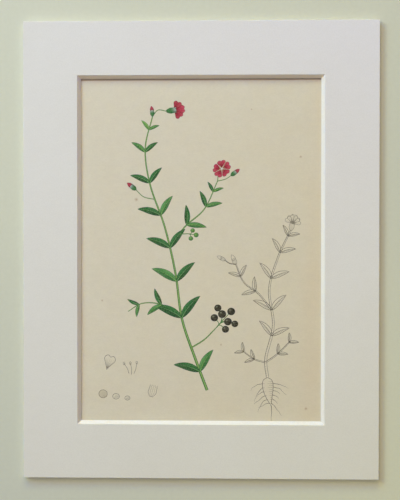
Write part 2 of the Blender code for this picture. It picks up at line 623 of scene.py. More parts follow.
def leaf(pl, base, ang, length, width, bend=0.0, kind='deep', shade=1, peak=0.80):
    rib, left, right = leaf_shape(base, ang, length, width, bend, peak)
    ca, sa = math.cos(ang), math.sin(ang)
    outline = left + right[-2:0:-1]
    if kind != 'grey':
        near, edge, dark, rim, vein = KINDS[kind]
        for side, half in ((1, left), (-1, right)):
            body = half + rib[-2:0:-1]

            def ink(x, y, side=side):
                along = ((x - base[0]) * ca + (y - base[1]) * sa) / length
                across = abs(-(x - base[0]) * sa + (y - base[1]) * ca) / (width / 2)
                c = blend2(near, edge, across * 0.9)
                if side == shade:
                    c = blend2(c, dark, 0.72 - 0.35 * along)
                return blend2(c, edge, max(along - 0.75, 0) * 1.2)
            pl.poly(body, ink)
        pl.stroke(rib[:-1], lambda t: 0.34 * (1 - t) + 0.08, vein)
        for k in (3, 5, 7, 9):
            for half in (left, right):
                tip = half[min(k + 1, len(half) - 2)]
                a = rib[k - 1]
                end = (a[0] + (tip[0] - a[0]) * 0.8, a[1] + (tip[1] - a[1]) * 0.8)
                pl.stroke([a, ((a[0] + end[0]) / 2, (a[1] + end[1]) / 2), end],
                          lambda t: 0.16 * (1 - t) + 0.05, rim, 0.55)
        loop = outline + [outline[0]]
        pl.stroke(loop, 0.22, rim, 0.9)
    else:
        loop = outline + [outline[0]]
        pl.stroke(loop, 0.26, LINE)
        pl.stroke(rib, lambda t: 0.26 * (1 - t) + 0.08, LINE)
        half = left if shade == 1 else right
        for k in range(1, len(rib) - 1):
            for q in (0.0, 0.5):
                a = rib[k]
                b = rib[k + 1]
                s = (a[0] + (b[0] - a[0]) * q, a[1] + (b[1] - a[1]) * q)
                tip = half[min(k + 1, len(half) - 1)]
                end = (s[0] + (tip[0] - s[0]) * 0.86, s[1] + (tip[1] - s[1]) * 0.86)
                pl.stroke([s, end], lambda t: 0.17 * (1 - t) + 0.06, LINE_SOFT, 0.8)


def stem(pl, ctrl, w0, w1, kind='green', step=1.6):
    line = spline(ctrl, step)
    width = lambda t: w0 + (w1 - w0) * t
    if kind == 'green':
        pl.stroke(line, width, STEM)
        for side, share, ink in ((1, 0.34, STEM_SHADE), (-1, 0.20, DEEP)):
            edge = []
            for i, p in enumerate(line):
                a = heading(line, i) + side * math.pi / 2
                edge.append(step_from(p, a, width(i / (len(line) - 1)) * (0.5 - share / 2)))
            pl.stroke(edge, lambda t, share=share: width(t) * share + 0.06, ink)
    else:
        for side in (1, -1):
            edge = []
            for i, p in enumerate(line):
                a = heading(line, i) + side * math.pi / 2
                edge.append(step_from(p, a, width(i / (len(line) - 1)) * 0.5))
            pl.stroke(edge, 0.30 if side == 1 else 0.22, LINE)
        if w0 > 0.7:
            for i in range(1, len(line) - 1):
                a = heading(line, i)
                w = width(i / (len(line) - 1))
                s = step_from(line[i], a + math.pi / 2, w * 0.42)
                pl.stroke([s, step_from(s, a - math.pi / 2 - 0.4, w * 0.42)],
                          0.14, LINE_SOFT, 0.8)
    return line


def petal_outline(c, ang, length, width, squash, tilt, notch=0.10):
    """An obovate petal with a notched tip; squash flattens the flower along tilt."""
    shape = [(0.06, 0.0), (0.22, 0.10), (0.48, 0.30), (0.74, 0.49), (0.93, 0.40),
             (1.0, 0.20), (1.0 - notch, 0.0), (1.0, -0.20), (0.93, -0.40),
             (0.74, -0.49), (0.48, -0.30), (0.22, -0.10)]
    pts = []
    ct, st = math.cos(tilt), math.sin(tilt)
    for u, v in shape:
        x = u * length * math.cos(ang) - v * width * math.sin(ang)
        y = u * length * math.sin(ang) + v * width * math.cos(ang)
        a, b = x * ct + y * st, (-x * st + y * ct) * squash
        pts.append((c[0] + a * ct - b * st, c[1] + a * st + b * ct))
    return pts


def flower_face(pl, c, r, turn=0.3, squash=1.0, tilt=0.0, grey=False, petals=5):
    """An open flower seen from the front."""
    order = [0, 2, 4, 1, 3][:petals] if petals == 5 else list(range(petals))
    for k in order:
        ang = turn + k * 2 * math.pi / petals
        out = petal_outline(c, ang, r, r * 0.98, squash, tilt)
        loop = spline(out, 0.9, closed=True)
        if not grey:
            def ink(x, y):
                d = math.dist((x, y), c) / r
                return blend2(blend2(CRIMSON_DARK, CRIMSON, d * 1.7), PINK, (d - 0.62) * 1.5)
            pl.poly(loop, ink)
        for s in (-0.62, -0.3, 0.0, 0.3, 0.62):
            tip = petal_outline(c, ang + s * 0.42, r * (0.80 - 0.16 * abs(s)), 0.0, squash, tilt, 0.0)[5]
            root = petal_outline(c, ang + s * 0.12, r * 0.2, 0.0, squash, tilt, 0.0)[5]
            mid = ((root[0] + tip[0]) / 2, (root[1] + tip[1]) / 2)
            pl.stroke([root, mid, tip], lambda t: 0.17 * (1 - t) + 0.05,
                      LINE_SOFT if grey else CRIMSON_DARK, 0.75)
        pl.stroke(loop + [loop[0]], 0.22, LINE if grey else CRIMSON_DARK, 0.9)
    # the eye and its stamens
    ring = [(c[0] + math.cos(a) * r * 0.13, c[1] + math.sin(a) * r * 0.13 * (0.4 + 0.6 * squash))
            for a in [i * math.pi / 5 for i in range(10)]]
    pl.poly(ring, tint(186, 178, 152) if grey else PALE)
    for i in range(8):
        a = turn + i * math.pi / 4
        tip = (c[0] + math.cos(a) * r * 0.26, c[1] + math.sin(a) * r * 0.26 * (0.4 + 0.6 * squash))
        pl.stroke([c, tip], 0.12, LINE if grey else PALE)
        dot = [(tip[0] + math.cos(b) * 0.24, tip[1] + math.sin(b) * 0.24)
               for b in [j * math.pi / 3 for j in range(6)]]
        pl.poly(dot, LINE if grey else OCHRE)


def calyx(pl, base, ang, length, width, grey=False):
    """A ribbed tube with short teeth; returns the middle of its mouth."""
    rib, left, right = [], [], []
    n = 6
    for i in range(n + 1):
        t = i / n
        p = step_from(base, ang, length * t)
        h = width / 2 * (0.45 + 0.75 * math.sin(math.pi * min(t, 0.75) * 0.9))
        rib.append(p)
        left.append(step_from(p, ang + math.pi / 2, h))
        right.append(step_from(p, ang - math.pi / 2, h))
    mouth = rib[-1]
    h = math.dist(left[-1], right[-1]) / 2
    teeth = []
    for k, s in enumerate((1.0, 0.6, 0.3, 0.0, -0.3, -0.6, -1.0)):
        p = step_from(mouth, ang + math.pi / 2, h * s)
        teeth.append(step_from(p, ang, width * (0.42 if k % 2 == 0 else 0.05)))
    outline = left + teeth + right[::-1]
    if not grey:
        ca, sa = math.cos(ang), math.sin(ang)

        def ink(x, y):
            t = ((x - base[0]) * ca + (y - base[1]) * sa) / length
            s = (-(x - base[0]) * sa + (y - base[1]) * ca) / (width / 2)
            c = blend2(GREEN, PALE, (t - 0.62) * 1.6)
            return blend2(c, DEEP, -s * 0.7)
        pl.poly(outline, ink)
    for s in (-0.5, 0.0, 0.5):
        line = [step_from(rib[i], ang + math.pi / 2,
                          s * math.dist(left[i], right[i]) * 0.5) for i in range(n + 1)]
        pl.stroke(line, 0.16, LINE_SOFT if grey else DARK_GREEN, 0.8)
    pl.stroke(outline + [outline[0]], 0.24, LINE if grey else DARK_GREEN, 0.9)
    return mouth


def flower_side(pl, base, ang, size, grey=False):
    """A flower seen from the side: petals fanned above their calyx."""
    mouth = step_from(base, ang, size * 0.55)
    for s in (-0.95, 0.95, -0.48, 0.48, 0.0):
        a = ang + s
        out = petal_outline(mouth, a, size * (0.80 - 0.12 * abs(s)), size * 0.56, 1.0, 0.0, 0.08)
        loop = spline(out, 0.9, closed=True)
        if not grey:
            def ink(x, y, a=a):
                d = math.dist((x, y), mouth) / (size * 0.8)
                c = blend2(CRIMSON_DARK, CRIMSON, d * 2.0)
                c = blend2(c, PINK, (d - 0.60) * 1.5)
                return blend2(c, CRIMSON_DARK, 0.25 * abs(a - ang))
            pl.poly(loop, ink)
        for q in (-0.25, 0.0, 0.25):
            pl.stroke([step_from(mouth, a + q * 0.5, size * 0.15),
                       step_from(mouth, a + q, size * 0.38),
                       step_from(mouth, a + q * 1.1, size * 0.60)],
                      lambda t: 0.17 * (1 - t) + 0.05, LINE_SOFT if grey else CRIMSON_DARK, 0.75)
        pl.stroke(loop + [loop[0]], 0.22, LINE if grey else CRIMSON_DARK, 0.9)
    calyx(pl, base, ang, size * 0.62, size * 0.34, grey)


def bud(pl, base, ang, size, grey=False):
    mouth = step_from(base, ang, size * 0.5)
    rib, left, right = leaf_shape(mouth, ang, size * 0.75, size * 0.46, 0.15, peak=0.62, n=7)
    loop = left + right[-2:0:-1]
    if not grey:
        def ink(x, y):
            d = math.dist((x, y), mouth) / size
            return blend2(CRIMSON_DARK, CRIMSON, d * 1.6)
        pl.poly(loop, ink)
        pl.stroke(rib[1:-1], lambda t: 0.2 * (1 - t) + 0.06, PINK, 0.7)
    pl.stroke(loop + [loop[0]], 0.22, LINE if grey else CRIMSON_DARK, 0.9)
    calyx(pl, base, ang, size * 0.62, size * 0.42, grey)


def berry(pl, c, r, kind='ripe'):
    """A round berry with a lighter side and a small highlight."""
    ring = [(c[0] + math.cos(b) * r, c[1] + math.sin(b) * r * 0.96)
            for b in [k * math.pi / 10 for k in range(20)]]
    if kind == 'grey':
        pl.poly(ring, tint(196, 188, 166))
        for q in (0.55, 0.8):
            pl.stroke([(c[0] + math.cos(b) * r * q, c[1] + math.sin(b) * r * q)
                       for b in [-0.4 - k * 0.28 for k in range(6)]], 0.14, LINE_SOFT, 0.85)
        pl.stroke(ring + [ring[0]], 0.26, LINE)
        return
    dark, lit, rim = (BLACKISH, HUSK, BLACKISH) if kind == 'ripe' else (STEM_SHADE, YOUNG, DEEP)

    def ink(x, y):
        d = math.dist((x, y), (c[0] - r * 0.3, c[1] + r * 0.35)) / r
        return blend2(lit, dark, d * 1.1)
    pl.poly(ring, ink)
    spot = [(c[0] - r * 0.32 + math.cos(b) * r * 0.30, c[1] + r * 0.36 + math.sin(b) * r * 0.20)
            for b in [k * math.pi / 4 for k in range(8)]]
    pl.poly(spot, SEED if kind == 'ripe' else LEAF_LIGHT, 0.9)
    pl.stroke(ring + [ring[0]], 0.24, rim, 0.95)


def berries(pl, base, ang, spread, kind='ripe'):
    """A loose bunch on short stalks: spread lists (turn, reach, radius)."""
    for turn, reach, r in spread:
        tip = step_from(base, ang + turn, reach)
        mid = step_from(step_from(base, ang, reach * 0.45), ang + turn, reach * 0.12)
        line = spline([base, mid, tip], 1.1)
        pl.stroke(line, 0.42 if kind != 'grey' else 0.24, STEM_SHADE if kind != 'grey' else LINE)
    for turn, reach, r in spread:
        berry(pl, step_from(base, ang + turn, reach), r, kind)


def tuber(pl, top, length, width, rng):
    """A plump root in line, ringed with creases and set with fine rootlets."""
    rib, left, right = leaf_shape(top, -1.50, length, width, 0.25, peak=0.55, n=14)
    for k in range(3, 14, 2):
        for half, side in ((left, 1), (right, -1)):
            p = half[k]
            a = -1.5 + side * 1.15 + rng.uniform(-0.3, 0.3)
            line = [p]
            for i in range(rng.randint(4, 8)):
                a += rng.uniform(-0.35, 0.35) + (-math.pi / 2 - a) * 0.08
                p = step_from(p, a, 1.25)
                line.append(p)
            pl.stroke(spline(line, 0.8), lambda t: 0.24 * (1 - t) + 0.09, LINE)
    loop = left + right[-2:0:-1]
    pl.stroke(loop + [loop[0]], 0.30, LINE)
    for k in range(2, 13):
        w = math.dist(left[k], right[k])
        a = heading(rib, k) - math.pi / 2
        s = step_from(rib[k], a + math.pi, w * 0.48)
        pl.stroke([s, step_from(step_from(s, a, w * 0.2), heading(rib, k), 0.35),
                   step_from(s, a, w * (0.38 + 0.12 * (k % 2)))],
                  lambda t: 0.20 * (1 - t) + 0.07, LINE_SOFT, 0.9)
        if k % 2:
            s = step_from(rib[k], a, w * 0.48)
            pl.stroke([s, step_from(s, a + math.pi, w * 0.18)], 0.15, LINE_SOFT, 0.85)
    tail = [rib[-1]]
    a, p = heading(rib, 13), rib[-1]
    for i in range(8):
        a += rng.uniform(-0.25, 0.25)
        p = step_from(p, a, 1.3)
        tail.append(p)
    pl.stroke(spline(tail, 0.9), lambda t: 0.34 * (1 - t) + 0.10, LINE)


def coloured_sprig(pl):
    """The painted sprig: a leaning stem with paired leaves and crimson flowers."""
    main = stem(pl, [(4.0, -86.0), (-3.5, -66.0), (-11.5, -42.0), (-15.5, -14.0),
                     (-22.0, 14.0), (-31.0, 40.0), (-34.0, 62.0), (-29.5, 82.0)], 1.75, 0.65)
    # upper side shoot, towards the right, with open flowers
    p, a = at_length(main, 0.52)
    right = stem(pl, [p, (p[0] + 9, p[1] + 13), (p[0] + 21, p[1] + 24), (p[0] + 29, p[1] + 41)],
                 1.05, 0.5)
    # lower side shoot, towards the left, in seed
    p2, a2 = at_length(main, 0.27)
    left = stem(pl, [p2, (p2[0] - 12, p2[1] + 8), (p2[0] - 24, p2[1] + 9),
                     (p2[0] - 33, p2[1] + 4)], 0.95, 0.45)
    # a short shoot low on the right, with the ripe seed cases
    p3, a3 = at_length(main, 0.16)
    low = stem(pl, [p3, (p3[0] + 8, p3[1] + 5), (p3[0] + 15, p3[1] + 12)], 0.9, 0.55)

    for share, size, kinds in ((0.07, 17.0, ('deep', 'mid')), (0.27, 19.0, ('deep', 'deep')),
                               (0.40, 17.5, ('mid', 'deep')), (0.52, 16.0, ('deep', 'deep')),
                               (0.64, 15.0, ('deep', 'mid')), (0.76, 13.0, ('deep', 'deep')),
                               (0.87, 10.5, ('mid', 'deep')), (0.95, 7.5, ('young', 'mid'))):
        q, h = at_length(main, share)
        leaf(pl, q, h + 0.85, size, size * 0.27, 0.55, kinds[0], 1)
        leaf(pl, q, h - 0.80, size * 0.94, size * 0.25, -0.5, kinds[1], -1)
    for share, size in ((0.34, 12.5), (0.66, 10.5), (0.86, 7.0)):
        q, h = at_length(right, share)
        leaf(pl, q, h + 0.8, size, size * 0.27, 0.4, 'deep', 1)
        leaf(pl, q, h - 0.75, size, size * 0.26, -0.45, 'mid', -1)
    for share, size in ((0.40, 11.0), (0.78, 8.0)):
        q, h = at_length(left, share)
        leaf(pl, q, h + 0.8, size, size * 0.27, 0.5, 'mid', 1)
        leaf(pl, q, h - 0.8, size, size * 0.26, -0.4, 'deep', -1)

    # flowers and buds
    q, h = at_length(main, 1.0)
    s = stem(pl, [q, step_from(q, h - 0.5, 5), step_from(q, h - 1.0, 9)], 0.5, 0.42)
    flower_side(pl, s[-1], h - 1.2, 8.4)
    bud(pl, q, h + 0.35, 5.0)
    q, h = at_length(right, 1.0)
    s = stem(pl, [q, step_from(q, h + 0.3, 4.5), step_from(q, h + 0.1, 8)], 0.5, 0.42)
    flower_face(pl, s[-1], 5.6, 0.45, 0.86, 0.7)
    s = stem(pl, [q, step_from(q, h - 0.9, 5), step_from(q, h - 0.75, 9)], 0.45, 0.38)
    bud(pl, s[-1], h - 0.5, 5.2)
    q, h = at_length(main, 0.70)
    s = stem(pl, [q, step_from(q, h + 1.0, 7), step_from(q, h + 0.75, 13)], 0.5, 0.4)
    bud(pl, s[-1], h + 0.55, 5.6)

    # dark berries, low on the right, and a few unripe ones above
    q, h = at_length(low, 1.0)
    berries(pl, q, h + 0.05, ((-0.95, 6.0, 2.1), (0.85, 6.5, 2.2), (-0.35, 8.5, 2.3),
                              (0.30, 9.5, 2.4), (-0.62, 12.0, 2.0), (0.62, 12.5, 2.1),
                              (-0.02, 14.0, 2.3)), 'ripe')
    q, h = at_length(right, 0.20)
    s = stem(pl, [q, step_from(q, h - 0.9, 5)], 0.5, 0.45)
    berries(pl, s[-1], h - 1.1, ((-0.8, 3.6, 1.3), (0.7, 3.8, 1.25), (0.0, 5.4, 1.4)), 'green')


def line_study(pl):
    """The uncoloured study: a rooted stem drawn in line."""
    rng = random.Random(11)
    crown = (41.0, -78.0)
    main = stem(pl, [crown, (40.0, -66.0), (44.5, -46.0), (42.0, -24.0), (47.5, -4.0),
                     (55.0, 12.0)], 1.5, 0.7, 'grey')
    p, a = at_length(main, 0.45)
    side = stem(pl, [p, (p[0] - 8, p[1] + 10), (p[0] - 17, p[1] + 17), (p[0] - 22, p[1] + 28)],
                0.8, 0.5, 'grey')
    p, a = at_length(main, 0.10)
    low = stem(pl, [p, (p[0] + 7, p[1] + 5), (p[0] + 15, p[1] + 13)], 0.8, 0.5, 'grey')
    low2 = stem(pl, [p, (p[0] - 7, p[1] + 2), (p[0] - 14, p[1] + 7)], 0.7, 0.45, 'grey')
    for share, size in ((0.28, 12.0), (0.45, 13.0), (0.66, 12.0), (0.84, 10.0), (0.96, 7.5)):
        q, h = at_length(main, share)
        leaf(pl, q, h + 0.8, size, size * 0.27, 0.5, 'grey', 1)
        leaf(pl, q, h - 0.85, size, size * 0.27, -0.5, 'grey', -1)
    for share, size in ((0.42, 9.0), (0.78, 8.0)):
        q, h = at_length(side, share)
        leaf(pl, q, h + 0.8, size, size * 0.28, 0.4, 'grey', 1)
        leaf(pl, q, h - 0.8, size, size * 0.28, -0.4, 'grey', -1)
    for line in (low, low2):
        for share, size in ((0.45, 6.5), (0.95, 6.0)):
            q, h = at_length(line, share)
            leaf(pl, q, h + 0.7, size, size * 0.3, 0.4, 'grey', 1)
            leaf(pl, q, h - 0.7, size, size * 0.3, -0.4, 'grey', -1)
    q, h = at_length(main, 1.0)
    flower_side(pl, q, h + 0.2, 7.4, grey=True)
    q, h = at_length(side, 1.0)
    bud(pl, q, h, 5.2, grey=True)
    s = stem(pl, [q, step_from(q, h + 1.0, 4.0), step_from(q, h + 0.8, 7.0)], 0.4, 0.35, 'grey')
    bud(pl, s[-1], h + 0.7, 4.4, grey=True)
    tuber(pl, crown, 17.0, 6.6, rng)


def dissections(pl):
    """Small parts of the flower, enlarged, in line."""
    # a petal with its claw
    c = (-58.0, -74.0)
    out = petal_outline(c, 1.25, 9.5, 7.0, 1.0, 0.0)
    loop = spline(out, 1.0, closed=True)
    pl.stroke(loop + [loop[0]], 0.26, LINE)
    for s in (-0.3, -0.15, 0.0, 0.15, 0.3):
        pl.stroke([step_from(c, 1.25 + s * 0.3, 1.5), step_from(c, 1.25 + s, 5.0),
                   step_from(c, 1.25 + s * 1.15, 7.6)], lambda t: 0.18 * (1 - t) + 0.06,
                  LINE_SOFT, 0.85)
    # stamens
    for k, (x, y, a) in enumerate(((-44.0, -76.0, 1.9), (-42.5, -76.5, 1.55), (-41.0, -76.0, 1.2))):
        line = spline([(x, y), step_from((x, y), a, 3.4), step_from((x, y), a + 0.12, 7.0)], 1.0)
        pl.stroke(line, 0.24, LINE)
        tip = line[-1]
        head = [(tip[0] + math.cos(b) * 0.55, tip[1] + math.sin(b) * 0.95)
                for b in [j * math.pi / 4 for j in range(8)]]
        pl.stroke(head + [head[0]], 0.22, LINE)
    # a calyx opened flat
    mouth = calyx(pl, (-30.5, -90.0), 1.3, 5.6, 4.2, grey=True)
    # a seed, cut and whole
    for cx, cy, r in ((-52.0, -90.0, 2.1), (-45.0, -91.0, 1.6)):
        egg = [(cx + math.cos(b) * r, cy + math.sin(b) * r * 0.8)
               for b in [j * math.pi / 8 for j in range(16)]]
        pl.stroke(egg + [egg[0]], 0.26, LINE)
        for q in (-0.5, -0.2, 0.1, 0.4):
            pl.stroke([(cx + q * r, cy - r * 0.5), (cx + q * r + r * 0.35, cy + r * 0.25)],
                      0.15, LINE_SOFT, 0.85)
    # a berry cut across
    berry(pl, (-60.0, -88.5), 2.6, 'grey')


def age_spots(pl):
    """A few foxing specks in the paper."""
    rng = random.Random(5)
    for x, y, r in ((-39.5, 31.0, 0.65), (61.0, 57.0, 0.5), (12.5, -58.0, 0.4), (-60.5, -31.0, 0.45),
                    (31.0, 86.0, 0.35), (64.5, -97.0, 0.6)):
        for grow, cover in ((1.9, 0.10), (1.3, 0.18), (0.8, 0.30)):
            spot = [(x + math.cos(b) * r * grow * rng.uniform(0.85, 1.15),
                     y + math.sin(b) * r * grow * rng.uniform(0.85, 1.15))
                    for b in [j * math.pi / 5 for j in range(10)]]
            pl.poly(spot, tint(150, 112, 62), cover)


def draw_plate():
    pl = Plate()
    age_spots(pl)
    line_study(pl)
    dissections(pl)
    coloured_sprig(pl)
    return pl


# --------------------------------------------------------------------------
# the printed sheet
# --------------------------------------------------------------------------
def cockle(x, y):
    """How far the sheet hangs off its mean level, in millimetres.

    It has dried with faint level ripples, and it sags further from the board
    along the aperture's upper and left edges.
    """
    w = 0.012 * math.sin(2 * math.pi * (y + 0.10 * x) / 31.0 + 1.1 + 0.9 * math.sin(x / 47.0))
    w += 0.009 * math.sin(2 * math.pi * (y - 0.06 * x) / 17.0 + 0.4 + 1.2 * math.sin(x / 29.0 + 1.0))
    w += 0.010 * math.sin(2 * math.pi * (x + 0.25 * y) / 58.0 + 2.0)
    sag = math.exp(-((x + 74.0) / 11.0) ** 2 - (y / 96.0) ** 6)
    sag += math.exp(-((y - 101.5) / 10.0) ** 2 - (x / 72.0) ** 6)
    return w - 0.115 * min(sag, 1.0) * (1.0 - smoothstep(105.0, 113.0, y))


LEAF_THICK = 0.150


def leaf_under(x, y):
    """The height of the leaf's back, in millimetres."""
    return (leaf_lo.z + leaf_hi.z) / 2 / MM - LEAF_THICK / 2 + cockle(x, y)


def paper_material():
    """Aged wove paper: cream, toned towards its right and lower edges, partly its own toning and partly
    painted fall-off of the light, with the plate's ink.
    """
    m = Mat("printed_paper", roughness=0.88, specular=0.2)
    at = m.place()
    xyz = m.node('ShaderNodeSeparateXYZ')
    m.link(at, xyz.inputs[0])
    x, y = xyz.outputs[0], xyz.outputs[1]
    cloud = m.noise(at, 19.0, 3.0, 0.55)
    mott = m.noise(at, 75.0, 4.0, 0.6)
    fibre = m.noise(m.place((1.0, 1.7, 1.0)), 900.0, 4.0, 0.65)
    # the tone deepens towards the right and the bottom: partly the paper's own toning, partly painted
    # fall-off of the light
    toned = m.math('ADD', m.math('MULTIPLY', x, 5.2), m.math('MULTIPLY', y, -2.2))
    toned = m.math('ADD', toned, m.math('MULTIPLY', m.math('SUBTRACT', cloud, 0.5), 1.1))
    toned = m.ramp(m.math('ADD', m.math('MULTIPLY', toned, 0.8), 0.42), [(0.0, 0.0), (1.0, 1.0)], 'EASE')
    c = m.mix(toned, PAPER_LIGHT, PAPER_TONED_AND_FALLOFF)
    # tan patches along the right edge and in the lower right corner
    edge = m.ramp(m.math('ADD', m.math('MULTIPLY', m.math('SUBTRACT', x, 0.0565), 58.0),
                         m.math('MULTIPLY', y, -1.6)), [(0.0, 0.0), (1.0, 1.0)], 'EASE')
    patch = m.noise(m.place((1.0, 0.6, 1.0)), 42.0, 2.0, 0.5)
    tan = m.math('MULTIPLY', edge, m.ramp(patch, [(0.34, 0.25), (0.62, 1.0)]))
    c = m.mix(m.math('MULTIPLY', tan, 0.42), c, (0.730, 0.610, 0.435))
    # the part kept dark behind the mat has toned less
    ex = m.math('SUBTRACT', m.math('ABSOLUTE', x), FOOT_X)
    ey = m.math('SUBTRACT', m.math('ABSOLUTE', y), FOOT_Y)
    out = m.ramp(m.math('ADD', m.math('MULTIPLY', m.math('MAXIMUM', ex, ey), 380.0), 0.5),
                 [(0.0, 0.0), (1.0, 1.0)], 'EASE')
    c = m.mix(m.math('MULTIPLY', out, 0.55), c, (0.790, 0.745, 0.640))
    c = m.mix(m.ramp(mott, [(0.30, 0.0), (0.72, 0.16)]), c, (0.66, 0.575, 0.42))
    c = m.mix(0.12, c, m.ramp(fibre, [(0.32, 0.55), (0.68, 1.0)]), 'MULTIPLY')
    pulp = m.noise(m.place((0.6, 1.2, 1.0)), 300.0, 2.0, 0.5)
    c = m.mix(0.060, c, m.ramp(pulp, [(0.3, 0.6), (0.7, 1.0)]), 'MULTIPLY')
    # a painted shadow: a dark line on the paper along the foot of the top bevel
    near = m.math('MULTIPLY', m.math('SUBTRACT', y, FOOT_Y - 0.0019), 1.0 / 0.0019)
    c = m.mix(m.math('MULTIPLY', m.ramp(near, [(0.0, 0.0), (0.50, 0.16), (0.66, 1.0)]), 0.80), c,
              (0.27, 0.185, 0.155))
    ink = m.node('ShaderNodeVertexColor', layer_name="ink")
    grain = m.noise(at, 1700.0, 3.0, 0.6)
    wash = m.noise(at, 260.0, 3.0, 0.55)
    cover = m.math('MULTIPLY', ink.outputs['Alpha'],
                   m.ramp(grain, [(0.30, 0.86), (0.60, 1.0)]))
    tone = m.mix(0.30, ink.outputs['Color'], m.ramp(wash, [(0.3, 0.62), (0.7, 1.0)]), 'MULTIPLY')
    c = m.mix(cover, c, tone)
    m.colour(c)
    ripple = m.noise(m.place((14.0, 62.0, 1.0)), 1.6, 2.0, 0.4)
    crimp = m.noise(m.place((70.0, 200.0, 1.0)), 1.6, 2.0, 0.5)
    rough = m.math('ADD', m.math('MULTIPLY', crimp, 0.22), m.math('MULTIPLY', fibre, 0.18))
    m.bump(m.math('ADD', m.math('MULTIPLY', ripple, 0.95), rough), 0.00014, 0.70)
    return m.m


PAPER_LIGHT = (0.739, 0.697, 0.586)
PAPER_TONED_AND_FALLOFF = (0.749, 0.693, 0.545)


def over(layers, x, y):
    """The inks at one point, laid one over another: colour and coverage."""
    r = g = b = a = 0.0
    for ink, cover in layers:
        c = ink(x, y) if callable(ink) else ink
        keep = a * (1 - cover)
        a2 = cover + keep
        r = (c[0] * cover + r * keep) / a2
        g = (c[1] * cover + g * keep) / a2
        b = (c[2] * cover + b * keep) / a2
        a = a2
    return (r, g, b, a)


def print_sheet():
    plate = draw_plate()
    lo, hi = leaf_lo / MM, leaf_hi / MM
    w, h = hi.x - lo.x, hi.y - lo.y
    rng = random.Random(3)
    # the leaf's outline: cut straight, but the inner edge was torn from its sewing
    outline = []
    nx, ny = 40, 58
    for i in range(nx):
        outline.append((lo.x + w * i / nx, lo.y))
    for i in range(ny):
        outline.append((hi.x, lo.y + h * i / ny))
    for i in range(nx):
        outline.append((hi.x - w * i / nx, hi.y))
    for i in range(ny * 2):
        rough = rng.uniform(0.0, 0.45) if i else 0.0
        outline.append((lo.x + rough, hi.y - h * i / (ny * 2)))
    n_out = len(outline)

    def tile(extra_pts, extra_faces, step):
        pts = [Vector(p) for p in outline]
        gx, gy = int(w / step), int(h / step)
        pts += [Vector((lo.x + w * (i + 0.5) / gx, lo.y + h * (j + 0.5) / gy))
                for i in range(gx) for j in range(gy)]
        base = len(pts)
        pts += [Vector(p) for p in extra_pts]
        faces = [list(range(n_out))] + [[base + k for k in f] for f in extra_faces]
        out = delaunay_2d_cdt(pts, [], faces, 0, 0.002)
        verts, tris, from_v, from_f = out[0], out[2], out[3], out[5]
        place = {}
        for k, src in enumerate(from_v):
            for s in src:
                if s < n_out:
                    place[s] = k
        keep = [k for k, src in enumerate(from_f) if 0 in src]
        return verts, [tris[k] for k in keep], [from_f[k] for k in keep], [place[s] for s in range(n_out)]

    t_verts, t_tris, t_src, t_rim = tile(plate.pts, plate.faces, 2.6)
    b_verts, b_tris, _, b_rim = tile([], [], 2.2)
    verts = [(v.x * MM, v.y * MM, (leaf_under(v.x, v.y) + LEAF_THICK) * MM) for v in t_verts]
    nt = len(verts)
    verts += [(v.x * MM, v.y * MM, leaf_under(v.x, v.y) * MM) for v in b_verts]
    faces, uvs, inks = [], [], []
    none = (1.0, 1.0, 1.0, 0.0)
    for tri, src in zip(t_tris, t_src):
        layers = [plate.inks[s - 1] for s in sorted(src) if s > 0]
        faces.append(tuple(tri))
        for k in tri:
            v = t_verts[k]
            uvs.append(((v.x - lo.x) / w, 0.06 + 0.94 * (v.y - lo.y) / h))
            inks.append(over(layers, v.x, v.y) if layers else none)
    for tri in b_tris:
        faces.append(tuple(nt + k for k in reversed(tri)))
        for k in reversed(tri):
            v = b_verts[k]
            uvs.append(((v.y - lo.y) / h * 0.9, 0.001 + 0.044 * (v.x - lo.x) / w))
            inks.append(none)
    for i in range(n_out):
        j = (i + 1) % n_out
        faces.append((nt + b_rim[i], nt + b_rim[j], t_rim[j], t_rim[i]))
        for u, vv in ((i, 0.048), (i + 1, 0.048), (i + 1, 0.053), (i, 0.053)):
            uvs.append((0.98 * u / n_out, vv))
            inks.append(none)
    me = bpy.data.meshes.new("printed_leaf")
    me.from_pydata(verts, [], faces)
    me.materials.append(paper_material())
    layer = me.uv_layers.new(name="OFBake")
    layer.data.foreach_set("uv", [c for uv in uvs for c in uv])
    ink = me.color_attributes.new("ink", 'FLOAT_COLOR', 'CORNER')
    ink.data.foreach_set("color", [c for q in inks for c in q])
    me.validate(clean_customdata=False)
    me.update()
    ob = bpy.data.objects.new("printed_leaf", me)
    scene.collection.objects.link(ob)
    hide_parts("print_sheet")
    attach(ob, "root")
    print("printed leaf:", len(t_tris), "triangles on its face,", len(plate.faces), "areas of ink")
    return ob


# --------------------------------------------------------------------------
# inside the mount: gummed hinges over the leaf's top edge, and the tapes that
# bond the card to the board
# --------------------------------------------------------------------------
def gummed_material():
    """Thin gummed paper: long-fibred, a little translucent, cockled by its paste."""
    m = Mat("gummed_paper", roughness=0.9, specular=0.15)
    at = m.place()
    long_fibre = m.noise(m.place((1.0, 9.0, 1.0)), 420.0, 3.0, 0.6, 0.6)
    cross = m.noise(m.place((7.0, 1.0, 1.0)), 380.0, 3.0, 0.6, 0.8)
    cloud = m.noise(at, 120.0, 2.0)
    c = m.mix(m.ramp(cloud, [(0.3, 0.0), (0.7, 1.0)]), (0.745, 0.705, 0.605), (0.780, 0.745, 0.660))
    c = m.mix(m.ramp(long_fibre, [(0.56, 0.0), (0.70, 0.45)]), c, (0.84, 0.82, 0.76))
    c = m.mix(m.ramp(cross, [(0.58, 0.0), (0.72, 0.30)]), c, (0.83, 0.80, 0.73))
    m.colour(c)
    m.bump(m.math('ADD', m.math('MULTIPLY', long_fibre, 0.6), m.math('MULTIPLY', cloud, 0.4)),
           0.00008, 0.6)
    return m.m


